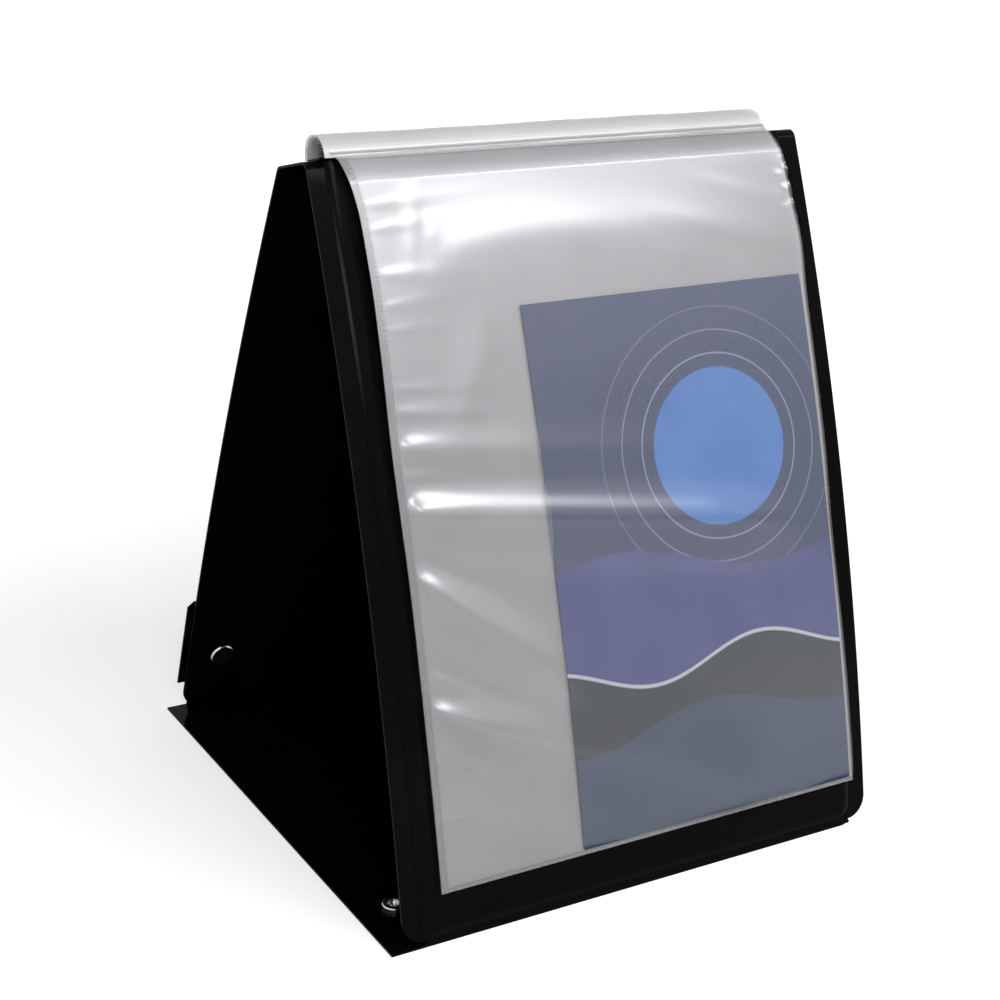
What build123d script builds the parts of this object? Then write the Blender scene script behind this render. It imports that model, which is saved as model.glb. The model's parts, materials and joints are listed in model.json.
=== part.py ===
from build123d import *
import math
import os

# A clear pocket display book standing as a tent: front cover, spine and rear cover of black sheet,
# a base sheet whose closing flap snaps to the rear cover, and pocket leaves hanging down the front.
# The side section lies in the YZ plane, the spine runs along X and the front faces -Y.

# Black sheet and how it folds, in millimetres and degrees
SHEET = 1.0
COVER_WIDTH = 240.0
COVER_LENGTH = 313.0
COVER_CORNER = 10.0
FRONT_LEAN = 18.0
FRONT_BOW = 8.5
REAR_BOW = 5.8
SPINE_WIDTH = 26.0
SPINE_TILT = 15.0
FOLD_CLEARANCE = 0.3
SEAT_GAP = 0.02
EDGE_TOLERANCE = 0.1

# Base sheet and closing flap
BASE_WIDTH = 240.0
BASE_OFFSET = 6.0
BASE_CORNER = 1.5
FLAP_HEIGHT = 68.0
FLAP_CHAMFER = 3.0
NOTCH_HEIGHT = 17.0
NOTCH_DEPTH = 10.0

# Backing panel in front of the front cover
BACKING_THICKNESS = 1.0
BACKING_LEFT_MARGIN = 7.6
BACKING_RIGHT_MARGIN = 9.5
BACKING_FOOT = 1.5
BACKING_TOP_RISE = 0.5
BACKING_GAP = 0.1

# Pocket leaves
INNER_LEAVES = 9
LEAF_THICKNESS = 0.2
LEAF_GAP = 0.05
LEAF_WIDTH = 215.0
LEAF_LEFT_MARGIN = 16.8
LEAF_BOTTOM = 19.5
LEAF_TOP_RISE = 0.5
FILM = 0.15
SEAM_WIDTH = 1.8

# Display card in the front pocket
CARD_WIDTH = 143.2
CARD_LENGTH = 229.8
CARD_THICKNESS = 0.25
CARD_SIDE_GAP = 4.0
CARD_CLEARANCE = 0.3

# Binding strip and the rolled heads of the leaves over the spine
STRIP_WIDTH = 11.0
STRIP_THICKNESS = 1.0
STRIP_SETBACK = 0.5
ROLL_LENGTH = 213.0
ROLL_SHIFT = -7.0
ROLL_DEPTH = 13.0
ROLL_HEIGHT = 8.4
ROLL_WALL = 0.6
ROLL_SETBACK = 5.5

# Metal snap fasteners
SNAP_INSET = 17.7
SNAP_HEIGHT = 31.0
BASE_SNAP_INSET = 17.0
BASE_SNAP_SETBACK = 31.0
CAP_DIAMETER = 12.0
CAP_RIM = 0.5
CAP_HEIGHT = 1.3
FLUSH_CAP_DEPTH = 0.45
POST_DIAMETER = 3.0
POST_HOLE = 3.4
STUD_FLANGE_DIAMETER = 9.0
STUD_FLANGE = 0.5
STUD_NECK_DIAMETER = 3.0
STUD_HEAD_DIAMETER = 3.6
STUD_HEAD = 0.8
STUD_ENGAGEMENT = 1.2
SOCKET_DIAMETER = 10.0
SOCKET_HEIGHT = 2.0
SOCKET_BORE = 5.2
SOCKET_FLOOR = 0.5
SOCKET_ROUND = 0.5


class BowedLine:
    """A shallow arc of the side section from a foot to a top, bulging away from the tent's inside."""

    def __init__(self, foot, top, bow, side):
        chord = top - foot
        out = Vector(0, -chord.Z, chord.Y) * (side / chord.length)
        self.radius = (chord.length**2 / 4 + bow**2) / (2 * bow)
        self.centre = (foot + top) * 0.5 - out * (self.radius - bow)
        self.foot_angle = self.angle_of(foot)
        self.top_angle = self.angle_of(top)
        self.length = self.radius * abs(self.top_angle - self.foot_angle)

    def angle_of(self, point):
        spoke = point - self.centre
        return math.atan2(spoke.Z, spoke.Y) % (2 * math.pi)

    def normal(self, along):
        angle = self.foot_angle + (self.top_angle - self.foot_angle) * along / self.length
        return Vector(0, math.cos(angle), math.sin(angle))

    def at(self, along, outward=0.0):
        return self.centre + self.normal(along) * (self.radius + outward)


def direction(degrees):
    """Unit vector in the side section, measured from +Y towards +Z."""
    return Vector(0, math.cos(math.radians(degrees)), math.sin(math.radians(degrees)))


# Side section: folds, arcs and planes that the pieces share
COVER_X = BASE_OFFSET / 2
BASE_X = -BASE_OFFSET / 2
COVER_LEFT = COVER_X - COVER_WIDTH / 2
COVER_RIGHT = COVER_X + COVER_WIDTH / 2
BASE_LEFT = BASE_X - BASE_WIDTH / 2
BASE_RIGHT = BASE_X + BASE_WIDTH / 2

BACKING_INNER = SHEET / 2 + BACKING_GAP
BACKING_OUTER = BACKING_INNER + BACKING_THICKNESS
FRONT_FOOT = Vector(0, BACKING_OUTER + BACKING_GAP, SHEET + SHEET / 2 + FOLD_CLEARANCE)
FRONT_TOP = FRONT_FOOT + direction(90 - FRONT_LEAN) * COVER_LENGTH
FRONT = BowedLine(FRONT_FOOT, FRONT_TOP, FRONT_BOW, 1)

SPINE_ALONG = direction(-SPINE_TILT)
SPINE_OUT = direction(90 - SPINE_TILT)
SPINE_SEAT = abs(FRONT.normal(FRONT.length).dot(SPINE_OUT)) * SHEET / 2
REAR_TOP = FRONT_TOP + SPINE_ALONG * SPINE_WIDTH + SPINE_OUT * (SPINE_SEAT + SHEET / 2)
REAR_LEAN = math.degrees(math.acos((REAR_TOP.Z - FRONT_FOOT.Z) / COVER_LENGTH))
REAR_FOOT = REAR_TOP + direction(REAR_LEAN - 90) * COVER_LENGTH
REAR = BowedLine(REAR_FOOT, REAR_TOP, REAR_BOW, -1)

SNAP_STANDOFF = STUD_FLANGE + FOLD_CLEARANCE + SOCKET_HEIGHT
SNAP_OUT = REAR.normal(SNAP_HEIGHT)
FLAP_UP = Vector(0, -SNAP_OUT.Z, SNAP_OUT.Y)
FLAP_SNAP = REAR.at(SNAP_HEIGHT, SHEET + SNAP_STANDOFF)
FLAP_DROP = (FLAP_SNAP.Z - SHEET / 2) / FLAP_UP.Z
FLAP_HINGE = FLAP_SNAP - FLAP_UP * FLAP_DROP
BASE_DEPTH = FLAP_HINGE.Y - SHEET / 2 - FOLD_CLEARANCE
TENT_DEPTH = FLAP_HINGE.Y + SHEET / 2

LEAF_PITCH = LEAF_THICKNESS + LEAF_GAP
LEAF_LEFT = COVER_LEFT + LEAF_LEFT_MARGIN
LEAF_RIGHT = LEAF_LEFT + LEAF_WIDTH
LEAF_TOP = FRONT.length + LEAF_TOP_RISE
POCKET_INNER = BACKING_OUTER + LEAF_GAP + INNER_LEAVES * LEAF_PITCH + FOLD_CLEARANCE
CARD_INNER = POCKET_INNER + FILM + CARD_CLEARANCE
POCKET_OUTER = CARD_INNER + CARD_THICKNESS + CARD_CLEARANCE + FILM

STRIP_SEAT = SPINE_SEAT + SHEET
STRIP_TOP = STRIP_SEAT + STRIP_THICKNESS
ROLL_CENTRE = FRONT_TOP + SPINE_ALONG * ROLL_SETBACK + SPINE_OUT * (STRIP_TOP + ROLL_HEIGHT / 2)
ROLL_LEFT = COVER_X + ROLL_SHIFT - ROLL_LENGTH / 2

SNAP_X = {
    "left": max(COVER_LEFT, BASE_LEFT) + SNAP_INSET,
    "right": min(COVER_RIGHT, BASE_RIGHT) - SNAP_INSET,
}
BASE_SNAP_X = {
    "left": BASE_LEFT + BASE_SNAP_INSET,
    "right": BASE_RIGHT - BASE_SNAP_INSET,
}

# The folds, and the axis that the leaves turn about, as points of the side section
HINGES = {
    "front fold": FRONT_FOOT,
    "rear fold": REAR_TOP,
    "flap fold": FLAP_HINGE,
    "leaf turn": ROLL_CENTRE,
}


def bowed_sheet(line, along, outward, across):
    """A sheet that follows a bowed line, given its (from, to) along, outward and across X."""
    inner, outer = [
        [Vector(across[0], 0, 0) + line.at(s, t) for s in (along[0], sum(along) / 2, along[1])]
        for t in outward
    ]
    outline = Wire([
        ThreePointArc(*inner),
        Line(inner[2], outer[2]),
        ThreePointArc(*reversed(outer)),
        Line(outer[0], inner[0]),
    ])
    return extrude(Face(outline), amount=across[1] - across[0], dir=(1, 0, 0))


def corner_edges(sheet, thickness):
    """The short edges through a sheet's thickness, lowest first."""
    short = [edge for edge in sheet.edges() if abs(edge.length - thickness) < EDGE_TOLERANCE]
    return ShapeList(short).sort_by(Axis.Z)


def flat_strip(along, outward, across):
    """A flat strip on the spine, given its (from, to) along the spine, outward and across X."""
    corners = [
        Vector(across[0], 0, 0) + FRONT_TOP + SPINE_ALONG * u + SPINE_OUT * v
        for u, v in ((along[0], outward[0]), (along[1], outward[0]),
                     (along[1], outward[1]), (along[0], outward[1]))
    ]
    outline = Wire(Polyline(*corners, close=True).edges())
    return extrude(Face(outline), amount=across[1] - across[0], dir=(1, 0, 0))


def turned(*profile):
    """A turned piece about Z from its (radius, height) profile, which starts and ends on the axis."""
    outline = Polyline(*[(radius, 0, height) for radius, height in profile], close=True)
    return revolve(Face(Wire(outline.edges())), axis=Axis.Z)


def disc(diameter, bottom, top):
    """A plain round disc or pin about Z."""
    standing = (Align.CENTER, Align.CENTER, Align.MIN)
    return Pos(0, 0, bottom) * Cylinder(diameter / 2, top - bottom, align=standing)


# Each snap is drawn on a plane at the middle of its sheet, with the mating side towards +Z

def domed_cap():
    """The rivet cap on the back of a snap, with the post that goes through the sheet."""
    seat = -SHEET / 2 - SEAT_GAP
    rim = seat - CAP_RIM
    crown = seat - CAP_HEIGHT
    radius = CAP_DIAMETER / 2
    dome = (radius**2 + (rim - crown)**2) / (2 * (rim - crown))
    half_way = Vector(radius / 2, 0, crown + dome - math.sqrt(dome**2 - radius**2 / 4))
    outline = Wire([
        Line((0, 0, crown), (0, 0, seat)),
        Line((0, 0, seat), (radius, 0, seat)),
        Line((radius, 0, seat), (radius, 0, rim)),
        ThreePointArc((radius, 0, rim), half_way, (0, 0, crown)),
    ])
    return revolve(Face(outline), axis=Axis.Z) + disc(POST_DIAMETER, seat, SHEET / 2)


def flush_cap():
    """The flat rivet cap sunk into the underside of the base, with its post."""
    underside = -SHEET / 2
    head = disc(CAP_DIAMETER, underside, underside + FLUSH_CAP_DEPTH)
    return head + disc(POST_DIAMETER, underside, SHEET / 2)


def stud():
    """The male half of a snap: a flange, a neck and a rounded head."""
    seat = SHEET / 2 + SEAT_GAP
    shoulder = SHEET / 2 + STUD_FLANGE
    tip = shoulder + FOLD_CLEARANCE + STUD_ENGAGEMENT
    neck = STUD_NECK_DIAMETER / 2
    head = STUD_HEAD_DIAMETER / 2
    return turned(
        (0, seat), (STUD_FLANGE_DIAMETER / 2, seat), (STUD_FLANGE_DIAMETER / 2, shoulder),
        (neck, shoulder), (neck, tip - STUD_HEAD), (head, tip - STUD_HEAD / 2), (neck, tip), (0, tip),
    )


def socket():
    """The female half of a snap: a round cup with a rounded rim."""
    seat = SHEET / 2 + SEAT_GAP
    top = SHEET / 2 + SOCKET_HEIGHT
    cup = disc(SOCKET_DIAMETER, seat, top)
    cup = fillet(cup.edges().sort_by(Axis.Z)[-1], SOCKET_ROUND)
    return cup - disc(SOCKET_BORE, seat + SOCKET_FLOOR, top + SOCKET_HEIGHT)


def snap_plane(x, point, out):
    """The plane of one snap: its place on the middle of the sheet and the way its mating side faces."""
    return Plane(origin=Vector(x, 0, 0) + point, x_dir=(1, 0, 0), z_dir=out)


def post_hole():
    """The cutter for a snap's post."""
    return disc(POST_HOLE, -SHEET, SHEET)


def base_plane(side):
    """The plane of one of the base's snaps, which face up."""
    return snap_plane(BASE_SNAP_X[side], Vector(0, BASE_SNAP_SETBACK, SHEET / 2), Vector(0, 0, 1))


def flap_plane(side):
    """The plane of one of the flap's snaps, which face the rear cover."""
    return snap_plane(SNAP_X[side], FLAP_SNAP, SNAP_OUT * -1)


def rear_plane(side):
    """The plane of one of the rear cover's snaps, which face the flap."""
    return snap_plane(SNAP_X[side], REAR.at(SNAP_HEIGHT), SNAP_OUT)


def base_sheet():
    """The flat sheet that the tent stands on."""
    sheet = Pos(BASE_X, BASE_DEPTH / 2, SHEET / 2) * Box(BASE_WIDTH, BASE_DEPTH, SHEET)
    sheet = fillet(sheet.edges().filter_by(Axis.Z), BASE_CORNER)
    for side in BASE_SNAP_X:
        sheet -= base_plane(side) * post_hole()
        recess = disc(CAP_DIAMETER + 2 * SEAT_GAP, -SHEET, -SHEET / 2 + FLUSH_CAP_DEPTH + SEAT_GAP)
        sheet -= base_plane(side) * recess
    return sheet


def closing_flap():
    """The flap behind the rear cover, notched at both ends of its fold."""
    half = BASE_WIDTH / 2
    neck = half - NOTCH_DEPTH
    right_side = [
        (neck, 0), (neck, NOTCH_HEIGHT), (half, NOTCH_HEIGHT),
        (half, FLAP_HEIGHT - FLAP_CHAMFER), (half - FLAP_CHAMFER, FLAP_HEIGHT),
    ]
    left_side = [(-x, y) for x, y in reversed(right_side)]
    face = make_face(Polyline(*right_side, *left_side, close=True))
    flap = extrude(face, amount=SHEET / 2, both=True)
    plane = Plane(origin=Vector(BASE_X, 0, 0) + FLAP_HINGE, x_dir=(1, 0, 0), z_dir=SNAP_OUT * -1)
    flap = plane * flap
    for side in SNAP_X:
        flap -= flap_plane(side) * post_hole()
    return flap


def rear_cover():
    """The rear cover, from the fold at the spine down to the base."""
    across = (COVER_LEFT, COVER_RIGHT)
    cover = bowed_sheet(REAR, (0, REAR.length), (-SHEET / 2, SHEET / 2), across)
    cover = fillet(corner_edges(cover, SHEET)[:2], COVER_CORNER)
    for side in SNAP_X:
        cover -= rear_plane(side) * post_hole()
    return cover


def front_cover():
    """The front cover, from the fold at the base up to the spine."""
    across = (COVER_LEFT, COVER_RIGHT)
    cover = bowed_sheet(FRONT, (0, FRONT.length), (-SHEET / 2, SHEET / 2), across)
    return fillet(corner_edges(cover, SHEET)[:2], COVER_CORNER)


def spine_panel():
    """The narrow panel on top, between the two covers."""
    front_edge = (FRONT.at(FRONT.length, SHEET / 2) - FRONT_TOP).dot(SPINE_ALONG)
    along = (front_edge, SPINE_WIDTH - SHEET / 2 - FOLD_CLEARANCE)
    return flat_strip(along, (SPINE_SEAT, SPINE_SEAT + SHEET), (COVER_LEFT, COVER_RIGHT))


def backing_panel():
    """The panel fixed to the front cover, behind the pocket leaves."""
    along = (BACKING_FOOT, FRONT.length + BACKING_TOP_RISE)
    across = (COVER_LEFT + BACKING_LEFT_MARGIN, COVER_RIGHT - BACKING_RIGHT_MARGIN)
    return bowed_sheet(FRONT, along, (BACKING_INNER, BACKING_OUTER), across)


def binding_strip():
    """The strip on the spine that the heads of the leaves are welded to."""
    along = (STRIP_SETBACK, STRIP_SETBACK + STRIP_WIDTH)
    return flat_strip(along, (STRIP_SEAT, STRIP_TOP), (ROLL_LEFT, ROLL_LEFT + ROLL_LENGTH))


def leaf_heads():
    """The heads of the leaves, rolled over the binding strip as one flattened tube."""
    depth = ROLL_DEPTH / 2
    height = ROLL_HEIGHT / 2
    section = Ellipse(depth, height) - Ellipse(depth - ROLL_WALL, height - ROLL_WALL)
    plane = Plane(origin=Vector(ROLL_LEFT, 0, 0) + ROLL_CENTRE, x_dir=SPINE_ALONG, z_dir=(1, 0, 0))
    return extrude(plane * section, amount=ROLL_LENGTH)


def inner_leaf(number):
    """One closed pocket leaf behind the front one, counted from the backing panel."""
    inner = BACKING_OUTER + LEAF_GAP + number * LEAF_PITCH
    along = (LEAF_BOTTOM, FRONT.length)
    return bowed_sheet(FRONT, along, (inner, inner + LEAF_THICKNESS), (LEAF_LEFT, LEAF_RIGHT))


def pocket_film(inner):
    """One of the two films of the front pocket."""
    return bowed_sheet(FRONT, (LEAF_BOTTOM, LEAF_TOP), (inner, inner + FILM), (LEAF_LEFT, LEAF_RIGHT))


def pocket_seam(along, across):
    """A welded seam that fills the gap between the two films of the front pocket."""
    return bowed_sheet(FRONT, along, (POCKET_INNER + FILM, POCKET_OUTER - FILM), across)


def side_seam():
    """The seam down the pocket's left side."""
    return pocket_seam((LEAF_BOTTOM, LEAF_TOP), (LEAF_LEFT, LEAF_LEFT + SEAM_WIDTH))


def bottom_seam():
    """The seam along the pocket's foot, up to its open right side."""
    return pocket_seam((LEAF_BOTTOM, LEAF_BOTTOM + SEAM_WIDTH), (LEAF_LEFT + SEAM_WIDTH, LEAF_RIGHT))


def display_card():
    """The printed card in the front pocket, which slides out at the pocket's open right side."""
    bottom = LEAF_BOTTOM + SEAM_WIDTH + CARD_CLEARANCE
    right = LEAF_RIGHT - CARD_SIDE_GAP
    outward = (CARD_INNER, CARD_INNER + CARD_THICKNESS)
    return bowed_sheet(FRONT, (bottom, bottom + CARD_LENGTH), outward, (right - CARD_WIDTH, right))


def build():
    """Every piece by its node name."""
    pieces = {
        "base_sheet": base_sheet(),
        "closing_flap": closing_flap(),
        "rear_cover": rear_cover(),
        "front_cover": front_cover(),
        "spine_panel": spine_panel(),
        "backing_panel": backing_panel(),
        "binding_strip": binding_strip(),
        "leaf_heads": leaf_heads(),
        "front_pocket_back_film": pocket_film(POCKET_INNER),
        "front_pocket_face_film": pocket_film(POCKET_OUTER - FILM),
        "front_pocket_side_seam": side_seam(),
        "front_pocket_bottom_seam": bottom_seam(),
        "display_card": display_card(),
    }
    for number in range(INNER_LEAVES):
        pieces[f"inner_pocket_leaf_{number + 1}"] = inner_leaf(number)
    for side in SNAP_X:
        pieces[f"{side}_base_socket"] = base_plane(side) * socket()
        pieces[f"{side}_base_cap"] = base_plane(side) * flush_cap()
        pieces[f"{side}_flap_socket"] = flap_plane(side) * socket()
        pieces[f"{side}_flap_cap"] = flap_plane(side) * domed_cap()
        pieces[f"{side}_rear_stud"] = rear_plane(side) * stud()
        pieces[f"{side}_rear_cap"] = rear_plane(side) * domed_cap()
    return pieces


def main():
    """Write one STEP file for each piece, with the origin under the middle of the tent."""
    os.makedirs("parts", exist_ok=True)
    centred = Pos(0, -TENT_DEPTH / 2, 0)
    for name, piece in build().items():
        export_step(centred * piece, f"parts/{name}.step")
    for name, point in HINGES.items():
        print(f"{name}: y {point.Y - TENT_DEPTH / 2:.3f}, z {point.Z:.3f}")


if __name__ == "__main__":
    main()
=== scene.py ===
import json
import math
from types import SimpleNamespace

import bpy
import numpy as np
from mathutils import Matrix, Vector

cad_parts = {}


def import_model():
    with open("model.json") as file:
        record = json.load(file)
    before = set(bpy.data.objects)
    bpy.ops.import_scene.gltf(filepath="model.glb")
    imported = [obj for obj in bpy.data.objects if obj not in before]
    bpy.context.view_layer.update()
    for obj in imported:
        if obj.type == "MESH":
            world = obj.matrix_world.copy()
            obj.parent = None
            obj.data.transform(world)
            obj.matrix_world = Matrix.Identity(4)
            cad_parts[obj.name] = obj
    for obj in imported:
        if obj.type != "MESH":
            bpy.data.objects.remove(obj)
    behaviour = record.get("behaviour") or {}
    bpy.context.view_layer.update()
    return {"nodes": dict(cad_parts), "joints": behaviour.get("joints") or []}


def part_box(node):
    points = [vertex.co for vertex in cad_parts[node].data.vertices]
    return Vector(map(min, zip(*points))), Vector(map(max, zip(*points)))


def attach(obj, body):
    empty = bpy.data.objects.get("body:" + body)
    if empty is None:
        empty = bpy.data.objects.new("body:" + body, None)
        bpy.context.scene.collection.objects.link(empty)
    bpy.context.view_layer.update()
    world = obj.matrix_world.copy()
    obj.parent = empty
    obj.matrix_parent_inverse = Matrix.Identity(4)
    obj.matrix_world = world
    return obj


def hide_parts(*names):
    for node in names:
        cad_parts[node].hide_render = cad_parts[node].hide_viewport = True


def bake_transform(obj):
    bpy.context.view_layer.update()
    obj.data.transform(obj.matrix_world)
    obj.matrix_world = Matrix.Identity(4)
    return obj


# A clear pocket display book standing as a tent: black sheets, pocket leaves of film and a printed card.
# Lengths are in metres. The spine runs along X, the front faces -Y and +Z is up.

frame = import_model()

MM = 0.001
TURN = 2 * math.pi
NODES = frame["nodes"]
JOINTS = {joint["name"]: joint for joint in frame["joints"]}
SIDES = ("left", "right")

# Side section of the tent
SHEET = 1.0 * MM
SHEET_EDGE = 0.2 * MM
COVER_LENGTH = 313 * MM
COVER_CORNER = 10 * MM
FRONT_LEAN = math.radians(18)
FRONT_BOW = 8.5 * MM
REAR_BOW = 5.8 * MM
SPINE_TILT = math.radians(15)
FOLD_RADIUS = 4 * MM

# Film
FILM = 0.15 * MM
LEAF_FILM = 0.2 * MM

# Camera: place, angles and lens
CAMERA_PLACE = (-0.43877, -0.70455, 0.44814)
CAMERA_YAW = math.radians(31.453)
CAMERA_PITCH = math.radians(20.742)
CAMERA_ROLL = math.radians(-2.572)
CAMERA_LENS_MM = 70.133
SENSOR_MM = 36.0


class BowedLine:
    """A shallow arc of the side section from a foot to a top, bulging away from the tent's inside."""

    def __init__(self, foot, top, bow, side):
        foot, top = np.array(foot), np.array(top)
        chord = top - foot
        length = np.linalg.norm(chord)
        out = np.array([-chord[1], chord[0]]) * side / length
        self.radius = (length**2 / 4 + bow**2) / (2 * bow)
        self.centre = (foot + top) / 2 - out * (self.radius - bow)
        self.start = self.angle_of(foot)
        self.sweep = self.angle_of(top) - self.start
        self.length = self.radius * abs(self.sweep)

    def angle_of(self, point):
        spoke = point - self.centre
        return math.atan2(spoke[1], spoke[0]) % (TURN)

    def at(self, along, outward=0.0):
        """The y and z of places given along the line and outward from it."""
        angle = self.start + self.sweep * np.asarray(along) / self.length
        reach = self.radius + np.asarray(outward)
        return self.centre[0] + reach * np.cos(angle), self.centre[1] + reach * np.sin(angle)

    def place(self, points):
        """How far along the line and outward from it an array of y, z points lies."""
        spokes = points - self.centre
        angles = np.arctan2(spokes[:, 1], spokes[:, 0]) % (TURN)
        along = (angles - self.start) / self.sweep * self.length
        return along, np.linalg.norm(spokes, axis=1) - self.radius


def joint_place(name):
    """The y and z of a joint's axis."""
    return np.array(JOINTS[name]["pos_m"][1:])


def side_direction(angle):
    """A unit y, z vector, measured from +Y towards +Z."""
    return np.array([math.cos(angle), math.sin(angle)])


FRONT_FOOT = joint_place("front_fold")
FRONT_TOP = FRONT_FOOT + side_direction(math.pi / 2 - FRONT_LEAN) * COVER_LENGTH
FRONT = BowedLine(FRONT_FOOT, FRONT_TOP, FRONT_BOW, 1)
REAR_TOP = joint_place("rear_fold")
REAR_LEAN = math.acos((REAR_TOP[1] - FRONT_FOOT[1]) / COVER_LENGTH)
REAR_FOOT = REAR_TOP + side_direction(REAR_LEAN - math.pi / 2) * COVER_LENGTH
REAR = BowedLine(REAR_FOOT, REAR_TOP, REAR_BOW, -1)
SPINE_ALONG = side_direction(-SPINE_TILT)
SPINE_OUT = side_direction(math.pi / 2 - SPINE_TILT)
ROLL_CENTRE = joint_place("leaf_turn")


def node_points(node):
    """The points of a node's solid."""
    return np.array([vertex.co for vertex in NODES[node].data.vertices])


def span(node, line=FRONT):
    """A node's reach across X, along a bowed line and outward from it."""
    points = node_points(node)
    along, outward = line.place(points[:, 1:])
    return SimpleNamespace(
        left=points[:, 0].min(), right=points[:, 0].max(), width=np.ptp(points[:, 0]),
        foot=along.min(), top=along.max(),
        inner=outward.min(), outer=outward.max(),
    )


# Meshes

SHARP_ANGLE = math.radians(35)


def mesh_piece(name, points, faces, material):
    """A smooth-shaded mesh object from points and faces, with its sharp edges kept."""
    mesh = bpy.data.meshes.new(name)
    mesh.from_pydata([tuple(p) for p in points], [], [tuple(f) for f in faces])
    mesh.polygons.foreach_set("use_smooth", [True] * len(mesh.polygons))
    mesh.set_sharp_from_angle(angle=SHARP_ANGLE)
    mesh.materials.append(material)
    piece = bpy.data.objects.new(name, mesh)
    bpy.context.scene.collection.objects.link(piece)
    return piece


def closed_sheet(name, inner, outer, material):
    """A closed thin sheet between two grids of points, with its rim."""
    rows, columns = inner.shape[:2]
    index = np.arange(rows * columns).reshape(rows, columns)
    quads = np.stack([index[:-1, :-1], index[:-1, 1:], index[1:, 1:], index[1:, :-1]], -1).reshape(-1, 4)
    border = np.concatenate([index[0, :-1], index[:-1, -1], index[-1, :0:-1], index[:0:-1, 0]])
    following = np.roll(border, -1)
    count = rows * columns
    rim = np.stack([border, following, following + count, border + count], -1)
    faces = np.concatenate([quads[:, ::-1], quads + count, rim])
    points = np.concatenate([inner.reshape(-1, 3), outer.reshape(-1, 3)])
    return mesh_piece(name, points, faces, material)


def layer(across, y, z):
    """A grid of points from places that vary along rows, columns or both."""
    return np.stack(np.broadcast_arrays(across, y, z), -1)


def sheet_on_line(name, across, along, inner, thickness, material, line=FRONT):
    """A closed sheet that follows a bowed line, from its places across, along and outward."""
    layers = [layer(across, *line.at(along, outward)) for outward in (inner, inner + thickness)]
    if line is REAR:
        layers.reverse()
    return closed_sheet(name, *layers, material)


def spaced(low, high, step):
    """Even places from low to high, about a step apart."""
    return np.linspace(low, high, max(2, round((high - low) / step) + 1))


def curve(points, at):
    """A smooth curve through a few points, read at the given places."""
    x, y = np.array(points, float).T
    slope = np.gradient(y, x)
    i = np.clip(np.searchsorted(x, at) - 1, 0, len(x) - 2)
    step = x[i + 1] - x[i]
    t = np.clip((at - x[i]) / step, 0, 1)
    rise = y[i] * (1 + 2 * t) * (1 - t) ** 2 + y[i + 1] * (3 - 2 * t) * t**2
    return rise + step * t * (1 - t) * (slope[i] * (1 - t) - slope[i + 1] * t)


def add_uv(piece, across, along):
    """Texture coordinates from 0 to 1 over a closed sheet made from grids."""
    u = (across - across.min()) / (across.max() - across.min())
    v = (along - along.min()) / (along.max() - along.min())
    places = np.tile(np.stack([u, v], -1).reshape(-1, 2), (2, 1))
    layer = piece.data.uv_layers.new(name="print")
    corners = np.zeros(len(piece.data.loops), np.int32)
    piece.data.loops.foreach_get("vertex_index", corners)
    layer.data.foreach_set("uv", places[corners].astype(np.float32).ravel())


def folded_sheet(name, path, across, thickness, material):
    """A closed sheet along X whose side section follows a path, seen from the path's left."""
    path = np.asarray(path)
    tangent = np.gradient(path, axis=0)
    normal = np.stack([-tangent[:, 1], tangent[:, 0]], -1)
    normal /= np.linalg.norm(normal, axis=1)[:, None]
    sides = [path - normal * thickness / 2, path + normal * thickness / 2]
    return closed_sheet(name, *(layer(across, *side.T[:, :, None]) for side in sides), material)


def arc_points(centre, radius, first, last):
    """Points of an arc in the side section, between two angles."""
    return [centre + side_direction(turn) * radius for turn in np.linspace(first, last, 12)]


def spokes(first, second, turns):
    """Unit vectors round the circle that two directions span."""
    return np.outer(np.cos(turns), first) + np.outer(np.sin(turns), second)


def tube_faces(rings, count, start=0):
    """Faces of a closed tube through rings of points, with its two ends."""
    faces = []
    for i in range(rings - 1):
        first = start + i * count
        for j in range(count):
            k = (j + 1) % count
            faces.append((first + j, first + k, first + count + k, first + count + j))
    last = start + (rings - 1) * count
    faces.append(tuple(start + j for j in reversed(range(count))))
    faces.append(tuple(last + j for j in range(count)))
    return faces


# A direction that no wire runs along
WIRE_ASIDE = np.array((0.31, 0.17, 0.93))


def wire_piece(name, paths, radius, material, sides=10):
    """Round wire along each path, as one piece."""
    points, faces = [], []
    turns = np.linspace(0, TURN, sides, endpoint=False)
    for path in paths:
        tangent = np.gradient(path, axis=0)
        tangent /= np.linalg.norm(tangent, axis=1)[:, None]
        start = len(points)
        for place, along in zip(path, tangent):
            first = np.cross(along, WIRE_ASIDE)
            first /= np.linalg.norm(first)
            second = np.cross(along, first)
            points.extend(place + radius * spokes(first, second, turns))
        faces.extend(tube_faces(len(path), sides, start))
    return mesh_piece(name, points, faces, material)


def soften(piece):
    """Rounds a sheet's sharp edges."""
    weld = piece.modifiers.new("weld", "WELD")
    weld.merge_threshold = 0.005 * MM
    bevel = piece.modifiers.new("edges", "BEVEL")
    bevel.width = SHEET_EDGE
    bevel.segments = 2
    bevel.limit_method = "ANGLE"
    bevel.angle_limit = math.radians(40)


def dress(piece, body, slot, *nodes):
    """Rides a piece on its body and hides the nodes that it stands for; its slot is not used."""
    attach(piece, body)
    if nodes:
        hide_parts(*nodes)
    return piece


# Materials

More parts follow.
